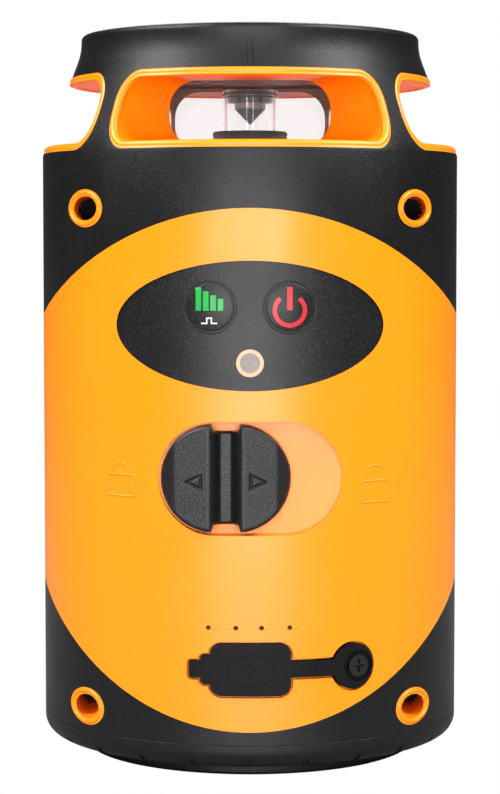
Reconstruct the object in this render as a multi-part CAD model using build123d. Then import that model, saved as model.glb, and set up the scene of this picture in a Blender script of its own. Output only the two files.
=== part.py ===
from build123d import *
import math
import os

# Self-levelling laser level in a round housing, in millimetres.
# The origin is the middle of the tripod thread's mouth, +Z is up and -Y is the front, with the controls.

# Housing
BODY_R = 52.0
SEAM_Z = 9.3
SHOULDER_Z = 148.0
HEAD_R = 42.2
TOP_Z = 178.0
CONE_SLOPE = 0.38
NECK_ROUND = 14.0
TOP_ROUND = 1.3
JACKET = 1.6
CAVITY_R = 48.0
DECK_UNDER_Z = 145.5
DECK_HOLE_R = 17.5
FOOT_ROUND = 4.3
FOOT_R = 41.6
FOOT_RISE = 3.5
FOOT_EDGE = 0.8
FOOT_INNER_R = 30.0
FAR = 60.0

# Orange oval that the rubber jacket leaves open, front and rear
OVAL_Z = 74.5
OVAL_UPPER = (63.0, 60.0)
OVAL_LOWER = (60.0, 62.1)

# Four windows around the glass box in the head
WINDOW_LOW_Z = 150.0
WINDOW_HIGH_Z = 165.75
WINDOW_HALF = 19.5
WINDOW_CORNER = 6.8
WINDOW_FLARE = 0.804
LIP = 1.4
PANE_INNER = 20.0
PANE_T = 1.5
PANE_HALF = 19.9
PANE_TOP_Z = 166.4
ROOF_TOP_Z = 168.7
ROOF_POCKET_R = 37.9
CAP_T = 3.6

# Long screws that clamp the two shells, in deep bosses
CLAMP_X = 39.2
CLAMP_Z = (134.7, 15.2)
CLAMP_RING_W = 8.6
CLAMP_RING_H = 9.0
CLAMP_BORE_R = 2.9
CLAMP_BOSS_R = 4.4
CLAMP_SEAT_Y = -12.0
CLAMP_TIP_Y = 16.0
CLAMP_HEAD_R = 2.7
M3_R = 1.5

# Base
BASE_SCREW_XY = 25.0
BASE_PLATE_LOW_Z = 7.3
BASE_PLATE_HIGH_Z = 10.5
BASE_PLATE_R = 47.4
BASE_BOSS_TOP_Z = 22.0
INSERT_R = 10.0
INSERT_TOP_Z = 13.0
TRIPOD_BORE_R = 6.8
FOOT_MARKS = 24

# Keypad
KEYPAD_Z = 107.3
KEYPAD_HALF_X = 31.4
KEYPAD_HALF_Z = 15.1
KEYPAD_FLOOR_R = 50.0
KEYPAD_R = 51.7
BUTTON_X = 9.2
BUTTON_Z = 111.6
BUTTON_R = 6.0
BUTTON_FACE_R = 52.1
BUTTON_GAP = 0.3
BUTTON_BACK_Y = -48.3
BUTTON_POCKET_Y = -47.4
BUTTON_STEM_R = 2.5
BUTTON_STEM_Y = -44.9
KEYPAD_PAD_Y = -45.3
SWITCH_FACE_Y = -44.25
KEY_BOARD_Y = -41.5
LAMP_Z = 98.7
LAMP_RING_R = 3.2
LAMP_WINDOW_R = 2.35

# Pendulum lock: a thumb slider across the front
LOCK_Z = 71.8
LOCK_SLOT_R = 13.3
LOCK_SLOT_HALF_X = 21.5
LOCK_FLOOR_Y = -46.5
LOCK_FLOOR_T = 2.0
KNOB_X = -5.65
KNOB_W = 30.3
KNOB_R = 12.5
LOCK_TRAVEL = 11.7
SLIDE_GAP = 0.3
STEM_W = 6.0
STEM_H = 5.4
CARRIAGE_HALF = (12.35, 13.0)
CARRIAGE_Z = 75.0
CARRIAGE_T = 2.5
CAM_PIN_X = 3.0
CAM_PIN_Z = 84.0
CAM_DROP = 4.0
CAM_PIN_R = 1.5

# Charging socket, its rubber cover and the charge lights
SOCKET_Z = 27.15
COVER_FLOOR_R = 50.3
COVER_INNER_R = 50.6
COVER_OUTER_R = 52.4
COVER_GAP = 0.5
COVER_HINGE_X = 17.6
COVER_MID_R = 51.5
ANCHOR_R = 5.4
ANCHOR_ANGLE = 27.8
ANCHOR_SCREW_ANGLE = 29.1
HINGE_GAP_R = 1.45
LIGHT_XS = (-9.7, -3.3, 2.7, 9.25)
LIGHT_Z = 37.0
LIGHT_R = 0.58

# Gimbal, pendulum and magnetic damper
GIMBAL_Z = 125.0
RING_INNER_R = 15.5
RING_OUTER_R = 19.5
RING_HALF_H = 4.5
PIN_R = 1.5
PIN_CLEARANCE = 0.03
OUTER_BEARING_R = 4.0
INNER_BEARING_R = 3.0
BEARING_W = 3.0
ARM_X = (22.5, 27.0)
BRACKET_R = 33.0
BRACKET_LOW_Z = 141.5
POST_XY = 21.0
POST_R = 2.5
PENDULUM_R = 11.0
PENDULUM_LOW_Z = 97.0
PENDULUM_TOP_Z = 140.0
BARREL_R = 6.0
WEIGHT_R = 14.0
WEIGHT_LOW_Z = 70.0
DISC_LOW_Z = 62.0
DISC_HIGH_Z = 66.0
DISC_R = 16.0
TAIL_R = 4.0
TAIL_REACH = 69.0
MAGNET_PLATE_Z = (50.5, 53.5)
MAGNET_R = 3.0
MAGNET_RING_R = 14.5
MAGNET_TOP_Z = 58.5
LIFTER_Z = (45.5, 49.5)
LIFTER_FRONT_Y = -40.1
PAD_R = 6.0

# Optical head on top of the pendulum
OPTICS_R = 9.3
OPTICS_Z = (150.6, 153.6)
TUBE_R = 6.65
TUBE_WALL = 0.9
TUBE_TOP_Z = 164.6
MIRROR_R = 3.9
MIRROR_Z = (160.0, 161.6)

# Batteries and boards
CELL_R = 9.2
CELL_X = 10.2
CELL_Y = 33.0
CELL_Z = (20.0, 85.0)
BOARD_T = 1.6


def box(x0, x1, y0, y1, z0, z1):
    """A box between two corners."""
    return Pos((x0 + x1) / 2, (y0 + y1) / 2, (z0 + z1) / 2) * Box(x1 - x0, y1 - y0, z1 - z0)


def rod_z(radius, z0, z1, x=0.0, y=0.0):
    """An upright cylinder."""
    return Pos(x, y, (z0 + z1) / 2) * Cylinder(radius, z1 - z0)


def rod_y(radius, y0, y1, x=0.0, z=0.0):
    """A cylinder along Y."""
    return Pos(x, (y0 + y1) / 2, z) * Rot(90, 0, 0) * Cylinder(radius, y1 - y0)


def rod_x(radius, x0, x1, y=0.0, z=0.0):
    """A cylinder along X."""
    return Pos((x0 + x1) / 2, y, z) * Rot(0, 90, 0) * Cylinder(radius, x1 - x0)


def tube_z(outer, inner, z0, z1):
    """An upright tube."""
    return rod_z(outer, z0, z1) - rod_z(inner, z0 - 1, z1 + 1)


def front_prism(outline, y0, y1):
    """An outline drawn in x and z, pushed through the part from y0 back to y1."""
    return extrude(Plane.XZ.offset(-y1) * outline, amount=y1 - y0)


def turned(points):
    """A solid of revolution about Z from corner points of radius and height."""
    return revolve(Plane.XZ * make_face(Polyline(*points, close=True)), Axis.Z)


def all_round(shape, count=4):
    """Copies of a shape, evenly spaced about Z."""
    return [Rot(0, 0, 360 / count * turn) * shape for turn in range(count)]


def cross_recess(x, z, y_face, size):
    """Cross-head driver recess in a screw head that faces -Y."""
    flat = box(x - size, x + size, y_face - 1, y_face + size * 0.6, z - size * 0.22, z + size * 0.22)
    upright = box(x - size * 0.22, x + size * 0.22, y_face - 1, y_face + size * 0.6, z - size, z + size)
    return flat + upright


def outer_form(inset):
    """The whole closed outside of the housing above the base seam, set in by inset all over."""
    cone_inset = inset * math.hypot(1, CONE_SLOPE)
    body_r = BODY_R - inset
    head_r = HEAD_R - inset
    shoulder_z = SHOULDER_Z + (inset - cone_inset) / CONE_SLOPE
    neck_z = SHOULDER_Z + (BODY_R - cone_inset - head_r) / CONE_SLOPE
    top_z = TOP_Z - inset
    points = [(0, SEAM_Z), (body_r, SEAM_Z), (body_r, shoulder_z), (head_r, neck_z)]
    points += [(head_r, top_z), (0, top_z)]
    profile = make_face(Polyline(*points, close=True))
    neck = profile.vertices().sort_by_distance((head_r, neck_z, 0))[0]
    profile = fillet(neck, NECK_ROUND + inset)
    if inset == 0:
        edge = profile.vertices().sort_by_distance((head_r, top_z, 0))[0]
        profile = fillet(edge, TOP_ROUND)
    return revolve(Plane.XZ * profile, Axis.Z)


def window_space(grow):
    """The front window's flared space from the pane outwards, widened by grow all round."""
    height = WINDOW_HIGH_Z - WINDOW_LOW_Z + 2 * grow
    middle = (WINDOW_HIGH_Z + WINDOW_LOW_Z) / 2
    start = PANE_INNER + PANE_T
    flare = WINDOW_FLARE * (FAR - start)
    near = RectangleRounded(2 * (WINDOW_HALF + grow), height, WINDOW_CORNER + grow / 2)
    wide = RectangleRounded(2 * (WINDOW_HALF + grow + flare), height, WINDOW_CORNER + grow / 2)
    sections = [Plane.XZ.offset(start) * Pos(0, middle) * near, Plane.XZ.offset(FAR) * Pos(0, middle) * wide]
    return loft(sections, ruled=True)


def clamp_places():
    """Centres of the four shell clamp screws, in x and z."""
    return [(side * CLAMP_X, z) for side in (-1, 1) for z in CLAMP_Z]


def jacket_oval():
    """Outline of the jacket's oval opening, a little longer below its middle than above."""
    points = []
    for turn in range(0, 360, 15):
        half_x, half_z = OVAL_UPPER if turn < 180 else OVAL_LOWER
        angle = math.radians(turn)
        points.append((half_x * math.cos(angle), OVAL_Z + half_z * math.sin(angle)))
    return make_face(Spline(*points, periodic=True))


def jacket():
    """The rubber jacket, both halves together, moulded round the shells' openings."""
    layer = outer_form(0) - outer_form(JACKET)
    layer -= front_prism(jacket_oval(), -FAR, FAR)
    layer -= all_round(window_space(LIP))
    for x, z in clamp_places():
        layer -= front_prism(Pos(x, z) * Ellipse(CLAMP_RING_W / 2, CLAMP_RING_H / 2), -FAR, 0)
    layer -= rod_z(ROOF_POCKET_R, TOP_Z - 2 * JACKET, TOP_Z + 1)
    return layer


def aiming_lines():
    """Two fine lines that mark the middle of each side, on the head's rim and near the foot."""
    lines = []
    for x in (-0.6, 0.6):
        lines.append(box(x - 0.15, x + 0.15, -FAR, -30, WINDOW_HIGH_Z, TOP_Z - TOP_ROUND))
        lines.append(box(x - 0.15, x + 0.15, -FAR, -30, SEAM_Z - 1, 20))
    return [line - outer_form(0.3) for line in lines]


def split(shape):
    """Front and rear halves of a shape."""
    front = shape & box(-FAR, FAR, -FAR, 0, -1, TOP_Z + 2)
    rear = shape & box(-FAR, FAR, 0, FAR, -1, TOP_Z + 2)
    return front, rear


def pane_pocket(half, reach, z0, z1):
    """Square chamber with a pocket for a pane on each side."""
    core = box(-half, half, -reach, reach, z0, z1)
    return core + box(-reach, reach, -half, half, z0, z1)


def cavity():
    """The hollow of the housing, leaving its ribs, pads and bosses standing."""
    space = rod_z(CAVITY_R, SEAM_Z - 1, DECK_UNDER_Z)
    floor_back = LOCK_FLOOR_Y + LOCK_FLOOR_T
    space -= box(-24, 24, -FAR, floor_back, 55, 92)
    space -= box(-23, 23, -FAR, KEYPAD_PAD_Y, 94, 122.5)
    rail_low = CARRIAGE_Z - CARRIAGE_HALF[1] - SLIDE_GAP
    rail_high = CARRIAGE_Z + CARRIAGE_HALF[1] + SLIDE_GAP
    space -= box(-18, 18, floor_back - 1, floor_back + 3.2, rail_low - 1.8, rail_low)
    space -= box(-18, 18, floor_back - 1, floor_back + 3.2, rail_high, rail_high + 1.8)
    for x, z in clamp_places():
        space -= rod_y(CLAMP_BOSS_R, -FAR, FAR, x, z)
    boss = rod_z(4, BASE_PLATE_HIGH_Z, BASE_BOSS_TOP_Z, BASE_SCREW_XY, BASE_SCREW_XY)
    web = box(BASE_SCREW_XY * math.sqrt(2), BODY_R, -2.5, 2.5, BASE_PLATE_HIGH_Z, BASE_BOSS_TOP_Z)
    for turn in all_round(boss + Rot(0, 0, 45) * web):
        space -= turn
    space -= Rot(0, 0, ANCHOR_SCREW_ANGLE) * rod_y(3.4, -50, -44.5, 0, SOCKET_Z)
    for x in (-18, 18):
        space -= rod_y(2.4, -47, KEY_BOARD_Y, x, LAMP_Z)
    return space


def cover_outline(grow):
    """Outline of the socket cover with its pull tab and strap, in x and z."""
    plate = Pos(0.1, SOCKET_Z) * RectangleRounded(19.0 + 2 * grow, 12.3 + 2 * grow, 2.8 + grow)
    step = Pos(-9.3, SOCKET_Z) * RectangleRounded(4.6 + 2 * grow, 6.9 + 2 * grow, 1.0 + grow)
    tab = Pos(-12.0, SOCKET_Z) * RectangleRounded(4.6 + 2 * grow, 4.0 + 2 * grow, 0.6 + grow)
    strap_end = COVER_HINGE_X + 4.8 * grow
    strap = Pos((8 + strap_end) / 2, SOCKET_Z) * Rectangle(strap_end - 8, 3.9 + 2 * grow)
    return plate + step + tab + strap


def anchor_disc(radius):
    """A radial cylinder where the cover's strap is screwed down."""
    return Rot(0, 0, ANCHOR_ANGLE) * rod_y(radius, -FAR, -40, 0, SOCKET_Z)


def layer(inner, outer):
    """A cylindrical layer at the lower front."""
    return tube_z(outer, inner, 15, 40)


def cover_hinge():
    """Centre of the strap's living hinge, in x and y."""
    return COVER_HINGE_X, -math.sqrt(COVER_MID_R ** 2 - COVER_HINGE_X ** 2)


def shell_openings():
    """Everything cut into the front shell from the front."""
    cut = front_prism(Pos(0, LOCK_Z) * SlotOverall(2 * LOCK_SLOT_HALF_X, 2 * LOCK_SLOT_R), -FAR, LOCK_FLOOR_Y)
    left = KNOB_X - STEM_W / 2 - SLIDE_GAP
    right = KNOB_X + STEM_W / 2 + LOCK_TRAVEL + SLIDE_GAP
    half = STEM_H / 2 + SLIDE_GAP
    cut += box(left, right, -FAR, -44, LOCK_Z - half, LOCK_Z + half)
    oval = front_prism(Pos(0, KEYPAD_Z) * Ellipse(KEYPAD_HALF_X, KEYPAD_HALF_Z), -FAR, -30)
    cut += oval - rod_z(KEYPAD_FLOOR_R, 80, 130)
    for side in (-1, 1):
        cut += rod_y(BUTTON_R + BUTTON_GAP, -FAR, BUTTON_POCKET_Y, side * BUTTON_X, BUTTON_Z)
        cut += rod_y(BUTTON_STEM_R + BUTTON_GAP, -FAR, -40, side * BUTTON_X, BUTTON_Z)
        cut += rod_y(1.0, -46.8, -40, side * 18, LAMP_Z)
    cut += rod_y(LAMP_WINDOW_R, -FAR, -40, 0, LAMP_Z)
    recess = front_prism(cover_outline(COVER_GAP), -FAR, -40) + anchor_disc(ANCHOR_R + COVER_GAP)
    cut += recess - rod_z(COVER_FLOOR_R, 15, 40)
    cut += box(-4.7, 4.7, -FAR, -45, SOCKET_Z - 2.05, SOCKET_Z + 2.05)
    cut += Rot(0, 0, ANCHOR_SCREW_ANGLE) * rod_y(1.2, -FAR, -45, 0, SOCKET_Z)
    for x in LIGHT_XS:
        cut += rod_y(LIGHT_R, -FAR, -44, x, LIGHT_Z)
    return cut


def shells(rubber):
    """Orange front and rear shells."""
    solid = outer_form(0) - cavity() - rubber
    solid -= rod_z(DECK_HOLE_R, DECK_UNDER_Z - 1, WINDOW_LOW_Z + 1)
    solid -= pane_pocket(PANE_HALF, PANE_INNER + PANE_T, WINDOW_LOW_Z, ROOF_TOP_Z + 1)
    solid -= rod_z(ROOF_POCKET_R, ROOF_TOP_Z, TOP_Z + 1)
    solid -= all_round(window_space(0))
    for angle in (20, 160, 200, 340):
        solid -= Rot(0, 0, angle) * rod_z(M3_R, DECK_UNDER_Z - 1, 148.5, 29)
    for screw in all_round(rod_z(M3_R, SEAM_Z, 19, BASE_SCREW_XY, BASE_SCREW_XY)):
        solid -= screw
    for screw in all_round(rod_z(1.0, 166.7, ROOF_TOP_Z + 1, 23.2, 23.2)):
        solid -= screw
    for x, z in clamp_places():
        solid -= rod_y(CLAMP_BORE_R, -FAR, CLAMP_SEAT_Y, x, z)
        solid -= rod_y(M3_R, CLAMP_SEAT_Y - 1, CLAMP_TIP_Y, x, z)
    front, rear = split(solid)
    return front - shell_openings(), rear


def base_ring():
    """Rubber ring with a round lower edge, a row of short grip marks and a foot that stands proud below."""
    points = [(FOOT_INNER_R, 0), (FOOT_R, 0), (FOOT_R, FOOT_RISE), (BODY_R, FOOT_RISE), (BODY_R, SEAM_Z)]
    points += [(BASE_PLATE_R, SEAM_Z), (BASE_PLATE_R, BASE_PLATE_LOW_Z), (FOOT_INNER_R, BASE_PLATE_LOW_Z)]
    profile = make_face(Polyline(*points, close=True))
    corner = profile.vertices().sort_by_distance((BODY_R, FOOT_RISE, 0))[0]
    profile = fillet(corner, FOOT_ROUND)
    profile = fillet(profile.vertices().sort_by_distance((FOOT_R, 0, 0))[0], FOOT_EDGE)
    seam = profile.vertices().sort_by_distance((BODY_R, SEAM_Z, 0))[0]
    profile = chamfer(seam, 0.15)
    ring = revolve(Plane.XZ * profile, Axis.Z)
    for screw in all_round(rod_z(3.6, -1, BASE_PLATE_LOW_Z + 1, BASE_SCREW_XY, BASE_SCREW_XY)):
        ring -= screw
    tilt = 50
    reach = BODY_R - FOOT_ROUND + FOOT_ROUND * math.cos(math.radians(tilt))
    height = FOOT_RISE + FOOT_ROUND - FOOT_ROUND * math.sin(math.radians(tilt))
    mark = Pos(0, -reach, height) * Rot(tilt, 0, 0) * Box(1.3, 0.8, 3.2)
    for cut in all_round(mark, FOOT_MARKS):
        ring -= cut
    return ring


def base_plate():
    """Base plate with the boss for the tripod insert."""
    plate = rod_z(BASE_PLATE_R, BASE_PLATE_LOW_Z, BASE_PLATE_HIGH_Z)
    plate += rod_z(FOOT_INNER_R, 0.6, BASE_PLATE_LOW_Z)
    plate += rod_z(INSERT_R + 4, BASE_PLATE_LOW_Z, INSERT_TOP_Z)
    plate -= rod_z(INSERT_R, 0, INSERT_TOP_Z + 1)
    for screw in all_round(rod_z(M3_R, 0, INSERT_TOP_Z, BASE_SCREW_XY, BASE_SCREW_XY)):
        plate -= screw
    return plate


def base_screws():
    """Four screws up through the base plate."""
    screw = rod_z(2.8, 5.2, BASE_PLATE_LOW_Z, BASE_SCREW_XY, BASE_SCREW_XY)
    screw += rod_z(M3_R, BASE_PLATE_LOW_Z, 18.5, BASE_SCREW_XY, BASE_SCREW_XY)
    screw -= box(BASE_SCREW_XY - 1.6, BASE_SCREW_XY + 1.6, BASE_SCREW_XY - 0.35, BASE_SCREW_XY + 0.35, 5, 6)
    screw -= box(BASE_SCREW_XY - 0.35, BASE_SCREW_XY + 0.35, BASE_SCREW_XY - 1.6, BASE_SCREW_XY + 1.6, 5, 6)
    return all_round(screw)


def clamp_screws():
    """Four long screws that clamp the shells together."""
    screws = []
    for x, z in clamp_places():
        screw = rod_y(CLAMP_HEAD_R, CLAMP_SEAT_Y - 2.4, CLAMP_SEAT_Y, x, z)
        screw += rod_y(M3_R, CLAMP_SEAT_Y, CLAMP_TIP_Y - 1, x, z)
        screws.append(screw - cross_recess(x, z, CLAMP_SEAT_Y - 2.4, 1.6))
    return screws


def pane():
    """Flat front window pane."""
    return box(-PANE_HALF, PANE_HALF, -PANE_INNER - PANE_T, -PANE_INNER, WINDOW_LOW_Z, PANE_TOP_Z)


def head_ceiling():
    """Dark plate that closes the glass box from above."""
    reach = PANE_INNER + PANE_T
    plate = pane_pocket(PANE_HALF, reach, PANE_TOP_Z, ROOF_TOP_Z)
    plate += box(-24.8, 24.8, -24.8, 24.8, ROOF_TOP_Z, ROOF_TOP_Z + 1.8)
    for screw in all_round(rod_z(1.0, 160, 180, 23.2, 23.2)):
        plate -= screw
    return plate


def ceiling_screws():
    """Four small screws in the ceiling plate's flange."""
    screw = rod_z(1.5, ROOF_TOP_Z + 1.8, ROOF_TOP_Z + 3.0, 23.2, 23.2)
    screw += rod_z(1.0, 166.9, ROOF_TOP_Z + 1.8, 23.2, 23.2)
    return all_round(screw)


def top_cap():
    """Lid set flush into the top of the head, with a gentle dish."""
    cap = rod_z(ROOF_POCKET_R, TOP_Z - CAP_T, TOP_Z)
    cap -= tube_z(ROOF_POCKET_R - 1.0, ROOF_POCKET_R - 1.6, TOP_Z - 0.4, TOP_Z + 1)
    skirt = tube_z(ROOF_POCKET_R, ROOF_POCKET_R - 2, ROOF_TOP_Z, TOP_Z - CAP_T)
    return cap + skirt


def keypad_panel():
    """Oval black keypad plate, curved with the housing."""
    oval = front_prism(Pos(0, KEYPAD_Z) * Ellipse(KEYPAD_HALF_X, KEYPAD_HALF_Z), -FAR, -30)
    panel = oval & tube_z(KEYPAD_R, KEYPAD_FLOOR_R, 80, 130)
    for side in (-1, 1):
        panel -= rod_y(BUTTON_R + BUTTON_GAP, -FAR, -40, side * BUTTON_X, BUTTON_Z)
    return panel - rod_y(LAMP_RING_R, -FAR, -40, 0, LAMP_Z)


def button(x):
    """Round key cap whose face follows the housing, with a stem to its switch."""
    face = rod_y(BUTTON_R, -FAR, BUTTON_BACK_Y, x, BUTTON_Z) & rod_z(BUTTON_FACE_R, 80, 130)
    return face + rod_y(BUTTON_STEM_R, BUTTON_BACK_Y, BUTTON_STEM_Y, x, BUTTON_Z)


def key_board():
    """Small circuit board behind the keypad."""
    board = box(-21, 21, KEY_BOARD_Y, KEY_BOARD_Y + BOARD_T, 94.5, 121.5)
    led = box(-1.2, 1.2, KEY_BOARD_Y - 1.2, KEY_BOARD_Y, LAMP_Z - 1.2, LAMP_Z + 1.2)
    return board + led


def tact_switches():
    """The two push switches on the key board."""
    switches = []
    for side in (-1, 1):
        x = side * BUTTON_X
        body = box(x - 3, x + 3, SWITCH_FACE_Y + 0.9, KEY_BOARD_Y, BUTTON_Z - 3, BUTTON_Z + 3)
        switches.append(body + rod_y(1.7, SWITCH_FACE_Y, SWITCH_FACE_Y + 0.9, x, BUTTON_Z))
    return switches


def indicator_ring():
    """Translucent ring round the power lamp."""
    ring = rod_y(LAMP_RING_R, -FAR, -49, 0, LAMP_Z) & tube_z(KEYPAD_R, KEYPAD_FLOOR_R, 80, 130)
    return ring - rod_y(LAMP_WINDOW_R, -FAR, -40, 0, LAMP_Z)


def indicator_window():
    """Clear plug in the middle of the lamp ring."""
    return rod_y(LAMP_WINDOW_R, -FAR, -46, 0, LAMP_Z) & rod_z(KEYPAD_R - 0.15, 80, 130)


def lock_knob():
    """Thumb slider: two rising lands with arrow marks and a finger valley between them."""
    base_y = LOCK_FLOOR_Y - SLIDE_GAP
    left = KNOB_X - KNOB_W / 2
    heights = [(0, 0), (0, 1.0), (3.2, 3.2), (11.0, 5.4), (11.8, 5.2), (13.5, 1.6), (16.8, 1.6)]
    heights += [(18.5, 5.2), (19.3, 5.4), (27.1, 3.2), (30.3, 1.0), (30.3, 0)]
    section = make_face(Polyline(*[(left + x, base_y - h) for x, h in heights], close=True))
    bar = extrude(Pos(0, 0, LOCK_Z - KNOB_R) * section, amount=2 * KNOB_R)
    knob = bar & front_prism(Pos(KNOB_X, LOCK_Z) * SlotOverall(KNOB_W, 2 * KNOB_R), -FAR, -40)
    arrow = make_face(Polyline((2.2, 0), (-2.0, 2.0), (-2.0, -2.0), close=True))
    arrow -= make_face(Polyline((1.1, 0), (-1.5, 1.2), (-1.5, -1.2), close=True))
    under_marks = extrude(Pos(0, 0.45, LOCK_Z - KNOB_R) * section, amount=2 * KNOB_R)
    for side in (-1, 1):
        z = LOCK_Z + side * KNOB_R
        knob -= box(KNOB_X - 2.6, KNOB_X + 2.6, -FAR, -40, z - 1.6, z + 1.6)
        place = Pos(KNOB_X + side * 7.6, LOCK_Z - 0.8) * Rot(0, 0, 90 - 90 * side)
        knob -= front_prism(place * arrow, -FAR, base_y) - under_marks
    stem_low = LOCK_Z - STEM_H / 2
    back = LOCK_FLOOR_Y + LOCK_FLOOR_T + SLIDE_GAP
    knob += box(KNOB_X - STEM_W / 2, KNOB_X + STEM_W / 2, base_y, back, stem_low, stem_low + STEM_H)
    for z in (LOCK_Z - 1.5, LOCK_Z + 1.5):
        knob -= rod_y(0.8, -48, back, KNOB_X, z)
    return knob


def cam_slot():
    """Slanting slot in the carriage that drives the lifter's pin."""
    start = Vector(CAM_PIN_X, CAM_PIN_Z)
    end = Vector(CAM_PIN_X - LOCK_TRAVEL, CAM_PIN_Z - CAM_DROP)
    middle = (start + end) * 0.5
    angle = math.degrees(math.atan2(CAM_DROP, LOCK_TRAVEL))
    width = 2 * (CAM_PIN_R + 0.15)
    slot = SlotCenterToCenter((end - start).length, width, rotation=angle)
    return front_prism(Pos(middle.X, middle.Y) * slot, -FAR, -30)


def lock_carriage():
    """Plate behind the slot floor, with the slanting cam slot."""
    face_y = LOCK_FLOOR_Y + LOCK_FLOOR_T + SLIDE_GAP
    half_x, half_z = CARRIAGE_HALF
    plate = Pos(KNOB_X, face_y + CARRIAGE_T / 2, CARRIAGE_Z) * Box(2 * half_x, CARRIAGE_T, 2 * half_z)
    for z in (LOCK_Z - 1.5, LOCK_Z + 1.5):
        plate -= rod_y(0.8, -FAR, -30, KNOB_X, z)
    return plate - cam_slot()


def knob_screws():
    """Two screws that join the knob and the carriage."""
    back = LOCK_FLOOR_Y + LOCK_FLOOR_T + SLIDE_GAP + CARRIAGE_T
    screws = []
    for z in (LOCK_Z - 1.5, LOCK_Z + 1.5):
        screws.append(rod_y(0.8, -47.8, back, KNOB_X, z) + rod_y(1.4, back, back + 1.1, KNOB_X, z))
    return screws


def concave_gap(extra):
    """Ball about the gimbal's centre whose underside the tail and the lock pad follow."""
    return Pos(0, 0, GIMBAL_Z) * Sphere(TAIL_REACH + extra)


def lock_lifter():
    """Bell of the lock: an arm from the cam pin to the stem under the pendulum."""
    low, high = LIFTER_Z
    lifter = box(-11, 11, -17, 5, low, high) + box(-4, 4, LIFTER_FRONT_Y, -17, low, high)
    lifter += box(-4, 4, LIFTER_FRONT_Y, LIFTER_FRONT_Y + 2.5, low, CAM_PIN_Z + 3)
    lifter += rod_y(CAM_PIN_R, -43.9, LIFTER_FRONT_Y, CAM_PIN_X, CAM_PIN_Z)
    lifter += rod_z(TAIL_R, high, 53.2)
    for side in (-1, 1):
        lifter -= rod_z(PIN_R + 0.05, low - 1, high + 1, side * 8, -12)
    return lifter


def lock_pad():
    """Rubber pad that bears on the pendulum's tail when the lock is on."""
    return rod_z(PAD_R, 53.2, 60) - concave_gap(SLIDE_GAP)


def gimbal_bracket():
    """Cast bracket under the deck, with an arm for each outer bearing."""
    part = tube_z(BRACKET_R, DECK_HOLE_R, BRACKET_LOW_Z, DECK_UNDER_Z)
    for side in (-1, 1):
        x0, x1 = sorted((side * ARM_X[0], side * ARM_X[1]))
        part += box(x0, x1, -6, 6, GIMBAL_Z - 6, BRACKET_LOW_Z)
    part -= rod_x(OUTER_BEARING_R, -ARM_X[1] + 1, ARM_X[1] - 1, 0, GIMBAL_Z)
    part -= rod_x(2.4, -30, 30, 0, GIMBAL_Z)
    for angle in (20, 160, 200, 340):
        part -= Rot(0, 0, angle) * rod_z(M3_R, BRACKET_LOW_Z - 1, DECK_UNDER_Z + 1, 29)
    return part


def bracket_screws():
    """Four screws that hold the bracket to the deck."""
    screw = rod_z(M3_R, BRACKET_LOW_Z, 148.2, 29) + rod_z(2.7, BRACKET_LOW_Z - 2, BRACKET_LOW_Z, 29)
    return [Rot(0, 0, angle) * screw for angle in (20, 160, 200, 340)]


def bearing(outer_r):
    """Small ball bearing along X, as one ring, from x = 0."""
    return rod_x(outer_r, 0, BEARING_W) - rod_x(PIN_R + PIN_CLEARANCE, -1, BEARING_W + 1)


def outer_bearings():
    """Bearings in the bracket's arms."""
    right = Pos(ARM_X[1] - 1 - BEARING_W, 0, GIMBAL_Z) * bearing(OUTER_BEARING_R)
    return [right, mirror(right, Plane.YZ)]


def gimbal_ring():
    """Ring between the two tilt axes."""
    ring = tube_z(RING_OUTER_R, RING_INNER_R, GIMBAL_Z - RING_HALF_H, GIMBAL_Z + RING_HALF_H)
    ring -= rod_x(PIN_R, -30, 30, 0, GIMBAL_Z)
    return ring - rod_y(INNER_BEARING_R, -30, 30, 0, GIMBAL_Z)


def outer_pins():
    """Pins pressed into the ring, which turn in the bracket's bearings."""
    right = rod_x(PIN_R, RING_INNER_R, ARM_X[1] - 1.1, 0, GIMBAL_Z)
    return [right, mirror(right, Plane.YZ)]


def inner_bearings():
    """Bearings in the ring for the pendulum's pins."""
    front = Rot(0, 0, -90) * Pos(RING_INNER_R + 0.6, 0, GIMBAL_Z) * bearing(INNER_BEARING_R)
    return [front, mirror(front, Plane.XZ)]


def inner_pins():
    """Pins pressed into the pendulum, which turn in the ring's bearings."""
    front = rod_y(PIN_R, -RING_OUTER_R + 0.4, -8.5, 0, GIMBAL_Z)
    return [front, mirror(front, Plane.XZ)]


def pendulum_body():
    """Turned pendulum with the laser's bore and a neck for the optical head."""
    body = rod_z(PENDULUM_R, PENDULUM_LOW_Z, PENDULUM_TOP_Z)
    body += rod_z(8.0, PENDULUM_TOP_Z, OPTICS_Z[0] - 3)
    body -= rod_z(BARREL_R, PENDULUM_LOW_Z - 1, 136)
    body -= rod_z(3.0, 130, OPTICS_Z[0] + 1)
    for y0, y1 in ((-20, -8.5), (8.5, 20)):
        body -= rod_y(PIN_R, y0, y1, 0, GIMBAL_Z)
    return body


def laser_barrel():
    """Brass barrel that holds the diode and the lens."""
    barrel = rod_z(BARREL_R, 106, 136) - rod_z(3.6, 105, 131.5)
    return barrel - rod_z(2.6, 131, 137)


def laser_diode():
    """Diode can with its legs."""
    can = rod_z(3.6, 110, 113.5) + rod_z(2.4, 113.5, 116)
    for x, y in ((-1.2, -0.7), (1.2, -0.7), (0, 1.2)):
        can += rod_z(0.35, 103, 110, x, y)
    return can


def collimator_lens():
    """Small biconvex lens at the barrel's front end."""
    lens = rod_z(3.6, 127, 131.5)
    lens &= Pos(0, 0, 120.2) * Sphere(11.2)
    return lens & Pos(0, 0, 138.3) * Sphere(11.2)


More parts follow.
